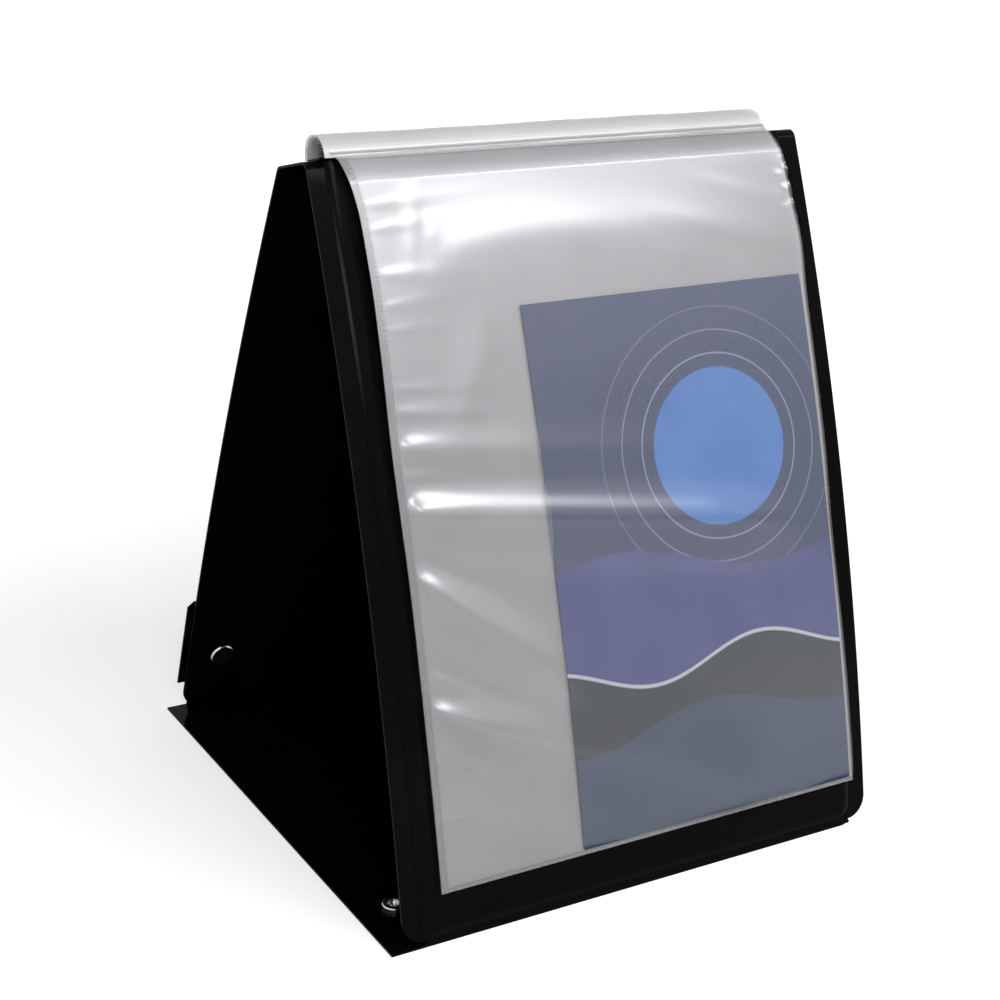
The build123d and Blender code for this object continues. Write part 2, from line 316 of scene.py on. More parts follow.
class Nodes:
    """Short calls for the nodes of one material."""

    def __init__(self, name):
        self.material = bpy.data.materials.new(name)
        self.material.use_nodes = True
        self.tree = self.material.node_tree
        self.shader = self.tree.nodes["Principled BSDF"]

    def set(self, **sockets):
        for name, value in sockets.items():
            self.feed(self.shader.inputs[name.replace("_", " ")], value)

    def feed(self, socket, value):
        if isinstance(value, bpy.types.NodeSocket):
            self.tree.links.new(value, socket)
        elif socket.type == "RGBA":
            socket.default_value = (*value, 1.0)
        else:
            socket.default_value = value

    def node(self, kind, output=0, properties=None, **inputs):
        node = self.tree.nodes.new(kind)
        for name, value in (properties or {}).items():
            setattr(node, name, value)
        for name, value in inputs.items():
            self.feed(node.inputs[name.replace("_", " ")], value)
        return node.outputs[output]

    def math(self, operation, *values, clamp=False):
        node = self.tree.nodes.new("ShaderNodeMath")
        node.operation = operation
        node.use_clamp = clamp
        for socket, value in zip(node.inputs, values):
            self.feed(socket, value)
        return node.outputs[0]

    def mix(self, factor, first, second):
        node = self.tree.nodes.new("ShaderNodeMix")
        node.data_type = "RGBA"
        self.feed(node.inputs["Factor"], factor)
        self.feed(node.inputs[6], first)
        self.feed(node.inputs[7], second)
        return node.outputs[2]

    def spread(self, value, low, high):
        return self.node("ShaderNodeMapRange", Value=value, To_Min=low, To_Max=high)

    def place(self):
        return self.node("ShaderNodeTexCoord", 3)

    def noise(self, scale, detail=2.0, vector=None):
        vector = self.place() if vector is None else vector
        return self.node("ShaderNodeTexNoise", Vector=vector, Scale=scale, Detail=detail)

    def bump(self, height, distance, strength):
        normal = self.node("ShaderNodeBump", Height=height, Distance=distance, Strength=strength)
        self.set(Normal=normal)


def black_sheet_material():
    """Black polypropylene sheet: fine grain, soft satin and faint handling marks."""
    n = Nodes("black_sheet")
    grain = n.noise(2600, 1.0)
    peel = n.noise(420)
    cloud = n.noise(38, 3.0)
    height = n.math("ADD", n.math("MULTIPLY", grain, 0.6), n.math("MULTIPLY", peel, 0.4))
    n.bump(height, 0.02 * MM, 0.12)
    n.set(
        Base_Color=n.mix(cloud, (0.0017, 0.0017, 0.0019), (0.0034, 0.0034, 0.0037)),
        Roughness=n.spread(cloud, 0.12, 0.18),
        Specular_IOR_Level=0.026,
    )
    return n.material


def film_material(name, colour, alpha, metallic, roughness, gloss=0.5, haze=0.15):
    """Clear film: a faint milkiness that clouds slowly, and a soft gloss."""
    n = Nodes(name)
    cloud = n.noise(26)
    tint = tuple(c * (1 - haze) for c in colour)
    n.set(
        Base_Color=n.mix(cloud, tint, colour),
        Roughness=n.spread(cloud, 0.85 * roughness, 1.2 * roughness),
        Metallic=metallic,
        Specular_IOR_Level=gloss,
        IOR=1.49,
        Alpha=alpha,
    )
    return n.material


def metal_material():
    """Bright nickel plate with fine turning marks."""
    n = Nodes("snap_metal")
    marks = n.noise(1800)
    n.bump(marks, 0.02 * MM, 0.3)
    n.set(
        Base_Color=n.mix(marks, (0.62, 0.62, 0.63), (0.78, 0.78, 0.79)),
        Metallic=1.0,
        Roughness=n.spread(marks, 0.16, 0.3),
    )
    return n.material


# The card's print, measured in widths of the card: its disc and the rings about it
CARD_LENGTH = 1.605
DISC_PLACE = (0.62, 1.12)
DISC_RADIUS = 0.24
RING_STEP = 0.035
RING_HALF_WIDTH = 0.0035
RING_REACH = 0.5
RING_FADE = 4.0
RING_STRENGTH = 0.55
DISC_SHARPNESS = 300.0
RING_SHARPNESS = 500.0
WAVE_SHARPNESS = 400.0


def card_material():
    """A coated card printed with plain rings and waves in slate, violet and blue."""
    n = Nodes("printed_card")
    uv = n.node("ShaderNodeUVMap", properties={"uv_map": "print"})
    axes = n.tree.nodes.new("ShaderNodeSeparateXYZ")
    n.feed(axes.inputs[0], uv)
    u, v = axes.outputs[0], axes.outputs[1]
    long_side = n.math("MULTIPLY", v, CARD_LENGTH)
    mottle = n.noise(7.0, 4.0, vector=uv)

    slate = n.mix(v, (0.03, 0.05, 0.095), (0.038, 0.055, 0.13))
    violet = n.mix(mottle, (0.03, 0.042, 0.15), (0.085, 0.088, 0.28))
    deep_violet = n.mix(mottle, (0.035, 0.05, 0.155), (0.075, 0.085, 0.25))
    blue = n.mix(mottle, (0.035, 0.14, 0.46), (0.09, 0.24, 0.56))
    pale_blue = (0.42, 0.46, 0.6)
    pale_grey = (0.5, 0.52, 0.58)
    charcoal = (0.018, 0.026, 0.034)

    def within(limit, value, sharpness):
        """1 where a value stays under a limit, with a soft edge."""
        return n.math("MULTIPLY", n.math("SUBTRACT", limit, value), sharpness, clamp=True)

    def wave(base, lift, turns, phase):
        """1 below a wavy line across the card."""
        angle = n.math("MULTIPLY_ADD", u, turns * TURN, phase)
        line = n.math("MULTIPLY_ADD", n.math("SINE", angle), lift, base)
        return within(line, v, WAVE_SHARPNESS)

    across = n.math("POWER", n.math("SUBTRACT", u, DISC_PLACE[0]), 2.0)
    up = n.math("POWER", n.math("SUBTRACT", long_side, DISC_PLACE[1]), 2.0)
    distance = n.math("SQRT", n.math("ADD", across, up))
    disc = within(DISC_RADIUS, distance, DISC_SHARPNESS)
    to_ring = n.math("PINGPONG", distance, RING_STEP)
    rings = within(RING_HALF_WIDTH, to_ring, RING_SHARPNESS)
    rings = n.math("MULTIPLY", rings, within(RING_REACH, distance, RING_FADE))

    # Bands from the back to the front: height, lift, turns and phase of the upper edge, and the colour
    bands = [
        (0.500, 0.035, 0.9, 0.4, violet),
        (0.490, 0.035, 0.9, 0.4, deep_violet),
        (0.310, 0.030, 1.3, 2.2, pale_grey),
        (0.303, 0.030, 1.3, 2.2, charcoal),
        (0.200, 0.030, 1.1, 4.4, slate),
    ]
    colour = n.mix(n.math("MULTIPLY", rings, RING_STRENGTH), slate, pale_blue)
    colour = n.mix(disc, colour, blue)
    for base, lift, turns, phase, tint in bands:
        colour = n.mix(wave(base, lift, turns, phase), colour, tint)
    n.set(Base_Color=colour, Roughness=n.spread(mottle, 0.4, 0.5), Specular_IOR_Level=0.1)
    return n.material


BLACK = black_sheet_material()
METAL = metal_material()
CARD = card_material()
FACE_FILM = film_material("face_film", (0.95, 0.93, 0.96), 0.055, 0.65, 0.2)
BACK_FILM = film_material("back_film", (0.93, 0.92, 0.95), 0.075, 0.8, 0.38)
STACK_FILM = film_material("stack_film", (0.205, 0.206, 0.219), 1.0, 0.65, 0.45, gloss=1.0)
BEND_FILM = film_material("bend_film", (0.35, 0.35, 0.36), 1.0, 0.2, 0.4)
WELD_FILM = film_material("weld_film", (0.85, 0.84, 0.86), 0.16, 0.3, 0.25)
ROLL_FILM = film_material("roll_film", (0.92, 0.92, 0.91), 0.5, 0.1, 0.42)


# Pocket leaves

FACE = span("front_pocket_face_film")
BACK = span("front_pocket_back_film")
CARD_SPAN = span("display_card")
LEAF_LENGTH = FACE.top - FACE.foot
LEAF_WIDTH = FACE.width

# Gathers that start at the left weld, in mm but for the slope, the drift and the fan: place of the crest
# up the leaf, slope, width above and below the crest, reach across the leaf, drift up and widening per mm
PUCKERS = [
    (275, 0.10, 3.0, 3.0, 20, 0.05, 0.004),
    (265, 0.12, 3.2, 3.0, 16, 0.10, 0.004),
    (248, 0.17, 4.0, 4.0, 20, -0.05, 0.004),
    (235, 0.18, 3.0, 3.5, 14, 0.10, 0.004),
    (226, 0.18, 3.0, 3.0, 14, 0.00, 0.004),
    (204, 0.25, 2.8, 3.0, 14, -0.10, 0.004),
    (195, 0.27, 4.2, 5.0, 22, -0.12, 0.004),
    (181.7, 0.32, 7.4, 12.0, 90, -0.14, 0.004),
    (170, 0.29, 3.4, 4.0, 16, -0.12, 0.004),
    (156.5, 0.40, 11.0, 16.0, 4000, -0.16, 0),
    (149, 0.30, 2.4, 3.0, 10, -0.15, 0.004),
    (132, 0.53, 7.4, 12.0, 300, -0.80, 0.020),
    (114, 0.40, 2.8, 3.5, 12, -0.30, 0.01),
    (92, 0.36, 4.0, 6.0, 40, -0.60, 0.02),
    (78, 0.60, 7.0, 10.0, 200, -0.46, 0.020),
    (52, 0.36, 3.5, 6.0, 25, -0.30, 0.01),
    (28, 0.30, 3.5, 6.0, 20, -0.15, 0.01),
]
# Across the leaf, where gathers start, rise, open and fade out
PUCKER_START = 1.5 * MM
PUCKER_RISE = 4 * MM
PUCKER_OPENING = 9 * MM
PUCKER_END = 75 * MM
# Shares of a gather's width
PUCKER_MOUTH = 0.3
PUCKER_TOP_SOFTNESS = 0.25
PUCKER_CREST_SOFTNESS = 0.12

# Soft creases towards the leaf's upper corners, in mm: foot and top (across, up the leaf), lift and width
CREASES = [
    ((18.6, 250), (23.5, 281), 0.45, 3.0),
    ((27.7, 256), (28.7, 267), 0.30, 3.2),
    ((30, 186), (46, 224), 0.80, 7.0),
    ((135, 262), (205, 243), 0.22, 5.0),
    ((155, 276), (205, 263), 0.18, 4.0),
    ((120, 249), (200, 226), 0.22, 6.0),
]
# Share of its lift that a crease has at its ends
CREASE_END = 0.35

# The shoulder that the leaves make where they bend back to the roll: mm across against mm up or out
SHOULDER_CREST = [(0, 236), (14, 242), (31, 252), (60, 258), (110, 258), (160, 256), (215, 252)]
SHOULDER_HEIGHT = [(0, 3.0), (30, 4.6), (70, 4.9), (110, 5.0), (150, 4.9), (190, 4.5), (215, 3.9)]
SHOULDER_TOP_HEIGHT = [(0, 2.6), (30, 3.0), (70, 3.3), (110, 3.4), (150, 3.6), (190, 3.7), (215, 3.5)]
SHOULDER_TOP = 284 * MM
SHOULDER_START = 30 * MM
# Slope below the crest, for a shoulder of this height
SHOULDER_FALL, SHOULDER_FALL_HEIGHT = 0.030, 4.4 * MM
SHOULDER_HOLLOW = 0.8
SHOULDER_EVEN_BEND = 0.55
SHOULDER_SOFTNESS = 0.3 * MM

# How the leaf's side edges wander: mm up the leaf against mm across
LEFT_EDGE = [
    (0, 0), (60, -0.5), (121, -0.9), (184, -1.8), (215, -1.0),
    (253, -0.5), (277, -1.4), (289, -3.6), (294, -4.8),
]
RIGHT_EDGE = [
    (0, -1.2), (60, -2.6), (83, -3.3), (100, -3.9), (117, -4.4), (155, -4.2), (190, -4.9),
    (222, -5.3), (246, -4.4), (266, -6.2), (279, -6.8), (288, -8.2), (294, -9.8),
]
EDGE_POWER = 8

# Waves of the film: weight, mm across, mm up the leaf and phase
SLOW_WAVES = [(1.0, 120, 310, 1.1), (1.0, -400, 83, 0.4), (0.6, 57, 150, 2.3)]
FLUTTER_WAVES = [(1.0, -31, 7.4, 0.0), (1.0, 13, 11.3, 1.0), (0.8, 9, 5.1, 2.2)]

# Where the open edge flutters, and how much
FLUTTER_FOOT, FLUTTER_FOOT_FADE = 248 * MM, 12 * MM
FLUTTER_TOP, FLUTTER_TOP_FADE = 283 * MM, 6 * MM
FLUTTER_REACH = 7 * MM
FLUTTER_BASE = 2.2
FLUTTER_HEIGHT = 0.22 * MM


def shoulder(u, v):
    """How far the leaves stand off the panel near the top."""
    crest = curve(SHOULDER_CREST, u / MM) * MM
    height = curve(SHOULDER_HEIGHT, u / MM) * MM
    top_height = curve(SHOULDER_TOP_HEIGHT, u / MM) * MM
    below = height + (v - crest) * SHOULDER_FALL * height / SHOULDER_FALL_HEIGHT
    share = (v - crest) / (SHOULDER_TOP - crest)
    above = height - (height - top_height) * share * (1 + SHOULDER_HOLLOW * (1 - share))
    turn = np.maximum(v - SHOULDER_TOP, 0) / (LEAF_LENGTH - SHOULDER_TOP)
    bend = top_height * (1 - turn * (SHOULDER_EVEN_BEND + (1 - SHOULDER_EVEN_BEND) * turn))
    above = np.where(v < SHOULDER_TOP, above, bend)
    soft = SHOULDER_SOFTNESS
    least = -soft * np.log(np.exp(-below / soft) + np.exp(-above / soft))
    return soft * np.log1p(np.exp(least / soft)) * (1 - np.exp(-((v / SHOULDER_START) ** 2)))


def pucker_height(u, v):
    """How far the film stands off where it gathers at the left weld."""
    height = np.zeros_like(u)
    start = np.maximum(u - PUCKER_START, 0)
    opening = PUCKER_MOUTH + (1 - PUCKER_MOUTH) * (1 - np.exp(-start / PUCKER_OPENING))
    for place, slope, above, below, reach, drift, fan in PUCKERS:
        widening = 1 + fan * u / MM
        spread = opening * widening
        offset = v - place * MM - drift * u
        ramp = above * MM * spread
        soft = PUCKER_TOP_SOFTNESS * ramp
        round_crest = PUCKER_CREST_SOFTNESS * ramp
        uphill = round_crest * np.logaddexp(0, offset / round_crest)
        slant = slope * np.exp(-u / (reach * MM)) / widening
        upper = slant * soft * np.logaddexp(0, (ramp - uphill) / soft)
        lower = np.exp(-(((offset - uphill) / (below * MM * spread)) ** 2))
        height += upper * lower
    rise = 1 - np.exp(-((start / PUCKER_RISE) ** 2))
    left_out = np.clip((LEAF_WIDTH - u) / PUCKER_END, 0, 1)
    return height * rise * left_out**2 * (3 - 2 * left_out)


def crease_height(u, v):
    """The soft creases towards the upper corners."""
    height = np.zeros_like(u)
    for foot, top, lift, width in CREASES:
        foot, top = np.array(foot) * MM, np.array(top) * MM
        run = top - foot
        share = ((u - foot[0]) * run[0] + (v - foot[1]) * run[1]) / (run @ run)
        nearest = np.clip(share, 0, 1)
        gap = np.hypot(u - foot[0] - nearest * run[0], v - foot[1] - nearest * run[1])
        taper = CREASE_END + (1 - CREASE_END) * np.sin(math.pi * nearest)
        height += lift * MM * taper * np.exp(-((gap / (width * MM)) ** 2))
    return height


def waves_at(waves, u, v):
    """The sum of a list of waves at places on the leaf."""
    total = np.zeros_like(u)
    for weight, across, up, phase in waves:
        total += weight * np.sin(TURN * (u / (across * MM) + v / (up * MM)) + phase)
    return total


def slow_wave(u, v):
    """A slow unevenness of hanging film, from 0 to 1."""
    most = sum(wave[0] for wave in SLOW_WAVES)
    return (waves_at(SLOW_WAVES, u, v) + most) / (2 * most)


def edge_shift(u, v):
    """How far the leaf's side edges wander in and out across X."""
    left = curve(LEFT_EDGE, v / MM) * MM
    right = curve(RIGHT_EDGE, v / MM) * MM
    share = np.clip(u / LEAF_WIDTH, 0, 1)
    return left * (1 - share) ** EDGE_POWER + right * share**EDGE_POWER


def edge_lift(u, v):
    """How the open right edge crumples outward near the top."""
    from_foot = np.clip((v - FLUTTER_FOOT) / FLUTTER_FOOT_FADE, 0, 1)
    from_top = np.clip((FLUTTER_TOP - v) / FLUTTER_TOP_FADE, 0, 1)
    near = np.exp(-(((LEAF_WIDTH - u) / FLUTTER_REACH) ** 2))
    flutter = waves_at(FLUTTER_WAVES, u, v) + FLUTTER_BASE
    return from_foot * from_top * near * flutter * FLUTTER_HEIGHT


# Welds, and the row of weld points on the side one
WELD_CLEARANCE = 0.02 * MM
WELD_REACH = 5 * MM
WELD_PROUD = 0.03 * MM
WELD_MARGIN = 0.1 * MM
SIDE_WELD_WIDTH = 3.2 * MM
FOOT_WELD_WIDTH = 1.5 * MM
POINT_PLACE = 2.3 * MM
POINT_WIDTH = 0.5 * MM
POINT_STEP = 1.9 * MM
POINT_HEIGHT = 0.22 * MM


def weld_pull(u, v):
    """How far the front film is drawn down on the back one at the welds."""
    gap = FACE.inner - BACK.outer - WELD_CLEARANCE
    beside, above = np.exp(-((u / WELD_REACH) ** 2)), np.exp(-((v / WELD_REACH) ** 2))
    return gap * np.maximum(beside, above)


def leaf_columns(reach):
    """Places across a leaf, close together by the weld and by the open edge."""
    band_mm, left_step_mm, right_step_mm, middle_step = 12, 0.6, 0.8, 2.2 * MM
    dense_left = np.arange(0, band_mm, left_step_mm) * MM
    dense_right = np.arange(0, band_mm, right_step_mm) * MM
    middle = spaced(band_mm * MM, reach.width - band_mm * MM, middle_step)
    return reach.left + np.concatenate([dense_left, middle, reach.width - dense_right[::-1]])


def film_grid(reach):
    """Grids of places on a film leaf, and the same places measured from its corner."""
    columns = leaf_columns(reach)
    rows = spaced(reach.foot, reach.top, 1.0 * MM)
    crisp = reach.foot + SHOULDER_TOP + np.array([-0.3, -0.1, 0.1, 0.3]) * MM
    across, along = np.meshgrid(columns, np.union1d(rows, crisp))
    u, v = across - reach.left, along - reach.foot
    return across + edge_shift(u, v), along, u, v


def end_calm(v):
    """Fades the film's own unevenness out at its foot and at its top."""
    top_fade, foot_fade = 10 * MM, 6 * MM
    return np.clip((LEAF_LENGTH - v) / top_fade, 0, 1) * np.clip(v / foot_fade, 0, 1)


# Slow waves of both films, and the back one's share of the gathers where it is clear of the card
FACE_WAVE = 0.3 * MM
FACE_WAVE_START = 20 * MM
BACK_WAVE = 0.1 * MM
BACK_GATHER = 0.85
CARD_SIDE_GAP, CARD_SIDE_FADE = 0.5 * MM, 4 * MM
CARD_TOP_GAP, CARD_TOP_FADE = 4 * MM, 12 * MM


def face_film():
    """The front film of the pocket, gathered at its left weld."""
    across, along, u, v = film_grid(FACE)
    lift = pucker_height(u, v) + crease_height(u, v) + edge_lift(u, v)
    lift += FACE_WAVE * slow_wave(u, v) * np.clip(u / FACE_WAVE_START, 0, 1)
    outward = FACE.inner - weld_pull(u, v) + shoulder(u, v) + lift * end_calm(v)
    piece = sheet_on_line("front_pocket_face", across, along, outward, FILM, FACE_FILM)
    return dress(piece, "front_leaf", "clear_film", "front_pocket_face_film")


def back_film():
    """The back film of the pocket, with the same gathers where no card lies on it."""
    across, along, u, v = film_grid(BACK)
    card_left, card_top = CARD_SPAN.left - BACK.left, CARD_SPAN.top - BACK.foot
    beside_card = np.clip((card_left - CARD_SIDE_GAP - u) / CARD_SIDE_FADE, 0, 1)
    above_card = np.clip((v - card_top - CARD_TOP_GAP) / CARD_TOP_FADE, 0, 1)
    gathers = (pucker_height(u, v) + crease_height(u, v)) * np.maximum(beside_card, above_card)
    lift = BACK_GATHER * gathers + BACK_WAVE * slow_wave(u, v)
    outward = BACK.inner + shoulder(u, v) + lift * end_calm(v)
    piece = sheet_on_line("front_pocket_back", across, along, outward, FILM, BACK_FILM)
    return dress(piece, "front_leaf", "clear_film", "front_pocket_back_film")


def pocket_weld(name, node, columns, rows):
    """One weld of the pocket, closed round both films."""
    across, along = np.meshgrid(columns, rows)
    u, v = across - FACE.left, along - FACE.foot
    row = np.exp(-(((u - POINT_PLACE) / POINT_WIDTH) ** 2))
    points = POINT_HEIGHT * row * np.maximum(np.sin(TURN * v / POINT_STEP), 0)
    gathers = pucker_height(u, v) * end_calm(v)
    inner = BACK.inner - WELD_CLEARANCE + shoulder(u, v)
    outer = FACE.outer + WELD_PROUD - weld_pull(u, v) + shoulder(u, v) + gathers + points
    piece = sheet_on_line(name, across + edge_shift(u, v), along, inner, outer - inner, WELD_FILM)
    return dress(piece, "front_leaf", "clear_film", node)


def pocket_welds():
    """The welds down the left side, with its row of small weld points, and along the foot."""
    side = span("front_pocket_side_seam")
    columns = spaced(side.left + WELD_MARGIN, side.left + SIDE_WELD_WIDTH, 0.35 * MM)
    rows = spaced(side.foot, side.top, 0.45 * MM)
    pocket_weld("pocket_side_weld", "front_pocket_side_seam", columns, rows)
    foot = span("front_pocket_bottom_seam")
    columns = spaced(foot.left, foot.right, 3 * MM)
    rows = spaced(foot.foot + WELD_MARGIN, foot.foot + FOOT_WELD_WIDTH, 0.35 * MM)
    pocket_weld("pocket_foot_weld", "front_pocket_bottom_seam", columns, rows)


# The block behind the front leaf: its share of the shoulder, and how far its edges draw in and vary
STACK_SHOULDER, STACK_STEP = 0.3, 0.07
STACK_LEFT, STACK_LEFT_SPREAD = 2.8 * MM, 0.5 * MM
STACK_RIGHT, STACK_RIGHT_SPREAD = -0.2 * MM, 0.4 * MM
STACK_FOOT, STACK_FOOT_SPREAD = 1.6 * MM, 0.5 * MM
STACK_FOOT_FADE = 100 * MM
SIDE_STAGGER, FOOT_STAGGER = 2.4, 1.7


def inner_leaf(number):
    """One leaf of the block behind the front one, its edges a little out of line."""
    node = f"inner_pocket_leaf_{number}"
    reach = span(node)
    columns = spaced(reach.left, reach.right, 5 * MM)
    rows = spaced(reach.foot, reach.top, 3 * MM)
    across, along = np.meshgrid(columns, rows)
    u, v = across - reach.left, along - reach.foot
    share = u / reach.width
    stagger = math.sin(number * SIDE_STAGGER)
    bulge = shoulder(u, v) * (STACK_SHOULDER + STACK_STEP * number)
    draw_left = STACK_LEFT + STACK_LEFT_SPREAD * stagger
    draw_right = STACK_RIGHT + STACK_RIGHT_SPREAD * stagger
    draw_up = STACK_FOOT + STACK_FOOT_SPREAD * math.cos(number * FOOT_STAGGER)
    across = across + edge_shift(u, v) + draw_left * (1 - share) + draw_right * share
    along = along + draw_up * np.clip(1 - v / STACK_FOOT_FADE, 0, 1)
    inner = reach.inner + bulge
    piece = sheet_on_line(f"inner_leaf_{number}", across, along, inner, LEAF_FILM, STACK_FILM)
    return dress(piece, "front_body", "clear_film", node)


# How the card lies in the pocket: shifted right, leaning left and sunk at its top
CARD_SHIFT = 0.6 * MM
CARD_LEAN = 4.8 * MM
CARD_SINK = 2 * MM


def printed_card():
    """The printed card in the front pocket."""
    reach = CARD_SPAN
    step = 3 * MM
    across, along = np.meshgrid(spaced(reach.left, reach.right, step), spaced(reach.foot, reach.top, step))
    inner = reach.inner + shoulder(across - FACE.left, along - FACE.foot)
    rise = (along - reach.foot) / (reach.top - reach.foot)
    leaning = across + CARD_SHIFT - CARD_LEAN * rise
    sunk = along - CARD_SINK * rise
    piece = sheet_on_line("printed_card", leaning, sunk, inner, reach.outer - reach.inner, CARD)
    add_uv(piece, across, along)
    return dress(piece, "card_body", "card", "display_card")


# Heads of the leaves over the spine

ROLL_CENTRE_RISE = 5.1 * MM
ROLL_FRONT_DEPTH = 10.0 * MM
ROLL_REAR_DEPTH = 8.3 * MM
ROLL_RISE = 10.3 * MM
ROLL_FULLNESS = 0.8
ROLL_FILM_THICKNESS = 0.25 * MM
ROLL_LAYERS = (1.0, 0.92, 0.84, 0.76, 0.66, 0.54, 0.40)
ROLL_LAYER_SHIFT = 0.6 * MM
ROLL_MARGIN = 0.985
# Waves along the roll: weight, mm and phase
ROLL_WAVES = [(0.012, 130, 0.6), (0.008, 47, 2.0)]
ARCH_START = 0.02
SMALL_LAYER = 0.7
STRIP_TOP = -4.1 * MM


def spine_point(along, outward):
    """y and z of a place given along the spine and outward from the roll's centre."""
    return (
        ROLL_CENTRE[0] + along * SPINE_ALONG[0] + outward * SPINE_OUT[0],
        ROLL_CENTRE[1] + along * SPINE_ALONG[1] + outward * SPINE_OUT[1],
    )


def arch(angle, size):
    """A place on the arch that the heads of the leaves make: along the spine and outward."""
    depth = np.where(np.cos(angle) > 0, ROLL_FRONT_DEPTH, ROLL_REAR_DEPTH)
    along = -depth * size * np.cos(angle)
    return along, ROLL_RISE * size * np.sin(angle) ** ROLL_FULLNESS - ROLL_CENTRE_RISE


def roll_wave(x):
    """A slow unevenness along the roll."""
    turn = TURN * x / MM
    return 1 + sum(weight * np.sin(turn / length + phase) for weight, length, phase in ROLL_WAVES)


def rolled_heads():
    """The heads of the leaves, arched over the binding strip one inside the other."""
    low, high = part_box("leaf_heads")
    columns = spaced(low.x, high.x, 4 * MM)
    turns = np.linspace(ARCH_START, math.pi - ARCH_START, 48)
    for number, size in enumerate(ROLL_LAYERS, 1):
        across, angles = np.meshgrid(columns + ROLL_LAYER_SHIFT * (number - 1), turns)
        full_size = size * roll_wave(across) * ROLL_MARGIN
        layers = []
        for thickness in (ROLL_FILM_THICKNESS, 0.0):
            along, outward = arch(angles, full_size - thickness / ROLL_RISE)
            if size < SMALL_LAYER:
                outward = np.maximum(outward, STRIP_TOP - thickness)
            layers.append(layer(across, *spine_point(along, outward)))
        piece = closed_sheet(f"leaf_head_{number}", *layers, ROLL_FILM)
        dress(piece, "front_body", "clear_film", *(["leaf_heads"] if number == 1 else []))


# The bend of film from a leaf's top to the roll, where it comes to places on the arch: angle and size
BEND_OVERLAP = 0.5 * MM
BEND_RISE, BEND_SINK = 1.6 * MM, 0.8 * MM
BEND_HEAD, BEND_APPROACH = (0.22, 1.01), (0.06, 1.03)
BEND_ROWS, BEND_COLUMNS = 22, 70
BEND_LEFT, BEND_RIGHT, BEND_ROLL_LEFT = 4.8 * MM, 10 * MM, 2 * MM
INNER_BEND_DEPTH, INNER_BEND_DROP = 0.7 * MM, 0.3 * MM


def bend_path(depth):
    """The side section of film that bends from a leaf's top back to the roll."""
    leaf_end = np.array(FRONT.at(FACE.top - BEND_OVERLAP, FACE.outer - depth))
    leaf_up = np.array(FRONT.at(FACE.top + BEND_RISE, FACE.outer - BEND_SINK - depth))
    head_end = np.array(spine_point(*arch(*BEND_HEAD)))
    head_down = np.array(spine_point(*arch(*BEND_APPROACH)))
    t = np.linspace(0, 1, BEND_ROWS)[:, None]
    rest = 1 - t
    return rest**3 * leaf_end + 3 * t * rest**2 * leaf_up + 3 * t**2 * rest * head_down + t**3 * head_end


def leaf_bends():
    """The front leaf's bend of film, and the bend of the leaves behind it."""
    low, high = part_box("leaf_heads")
    share = np.linspace(0, 1, BEND_ROWS)[:, None]
    leaf_left, leaf_right = FACE.left - BEND_LEFT, FACE.right - BEND_RIGHT
    lefts = leaf_left + (low.x + BEND_ROLL_LEFT - leaf_left) * share
    rights = leaf_right + (high.x - leaf_right) * share
    across = lefts + (rights - lefts) * np.linspace(0, 1, BEND_COLUMNS)
    path = bend_path(0)
    piece = folded_sheet("leaf_bend", path, across, FILM, FACE_FILM)
    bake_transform(piece)
    inner_path = bend_path(INNER_BEND_DEPTH) - INNER_BEND_DROP * SPINE_OUT
    inner = folded_sheet("inner_leaf_bend", inner_path, across, LEAF_FILM, BEND_FILM)
    dress(inner, "front_body", "clear_film")


# Black sheets

BACKING_ROLL = 4 * MM
BACKING_DROP = 0.93 * MM
BACKING_CORNER = 7 * MM


def rounded_outline(reach, corner, rows):
    """How far each row's ends draw in where the foot's corners are round."""
    rise = np.clip(rows - reach.foot, 0, corner)
    return corner - np.sqrt(np.maximum(corner**2 - (corner - rise) ** 2, 0))


def corner_rows(reach, corner, step):
    """Places along a sheet, close together where its foot's corners are round."""
    bend = reach.foot + corner * (1 - np.cos(np.linspace(0, math.pi / 2, 14)))
    return np.concatenate([bend, spaced(reach.foot + corner, reach.top, step)[1:]])


def backing_panel():
    """The panel behind the leaves, its rim rolled back all round."""
    reach = span("backing_panel")
    rows = corner_rows(reach, BACKING_CORNER, 6 * MM)
    draw_in = rounded_outline(reach, BACKING_CORNER, rows)[:, None]
    rim = BACKING_ROLL * (1 - np.cos(np.linspace(0, math.pi / 2, 9)))
    middle = spaced(BACKING_ROLL, reach.width - BACKING_ROLL, 12 * MM)[1:-1]
    share = np.concatenate([rim, middle, reach.width - rim[::-1]]) / reach.width
    lefts = reach.left + draw_in
    rights = reach.right - draw_in
    across = lefts + (rights - lefts) * share
    along = rows[:, None]
    edge = np.minimum(np.minimum(across - lefts, rights - across), along - reach.foot)
    inside = np.clip(edge / BACKING_ROLL, 0, 1)
    thickness = reach.outer - reach.inner - BACKING_DROP * (1 - inside) ** 2
    piece = sheet_on_line("rolled_backing", across, along, reach.inner, thickness, BLACK)
    return dress(piece, "front_body", "black_sheet", "backing_panel")


